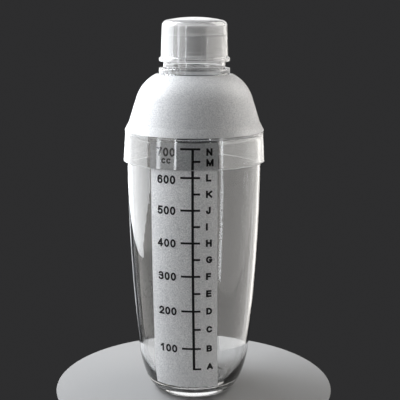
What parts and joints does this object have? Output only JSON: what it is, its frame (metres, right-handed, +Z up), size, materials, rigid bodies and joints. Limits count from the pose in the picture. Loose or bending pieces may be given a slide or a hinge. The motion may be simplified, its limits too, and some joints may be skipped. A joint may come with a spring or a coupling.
{
  "type": "cocktail shaker",
  "caption": "Clear resin shaker: a graduated cup, a frosted lift-off shoulder with a strainer in its neck, and a push-on measuring cap.",
  "frame": {"origin": "centre of the foot ring, on the surface that the cup stands on", "axes": "+Z up along the cup's axis towards the cap, -Y towards the printed scale"},
  "size_m": [0.0896, 0.0896, 0.238],
  "materials": {
    "clear_resin": "clear, polished, thick-walled resin",
    "frosted_resin": "finely frosted translucent dome with a clear skirt, collar and neck",
    "scale_frost": "translucent frosted print",
    "scale_ink": "black screen print"
  },
  "bodies": {
    "cup": {"cup": "clear_resin", "scale_panel": "scale_frost", "scale_marks": "scale_ink"},
    "shoulder": {"shoulder": "frosted_resin", "strainer": "clear_resin"},
    "cap": {"cap": "clear_resin"}
  },
  "joints": [
    {"name": "shoulder_lift", "type": "slide", "parent": "cup", "child": "shoulder", "axis": [0, 0, 1], "range_m": [0, 0.06]},
    {"name": "cap_lift", "type": "slide", "parent": "shoulder", "child": "cap", "axis": [0, 0, 1], "range_m": [0, 0.04]}
  ]
}
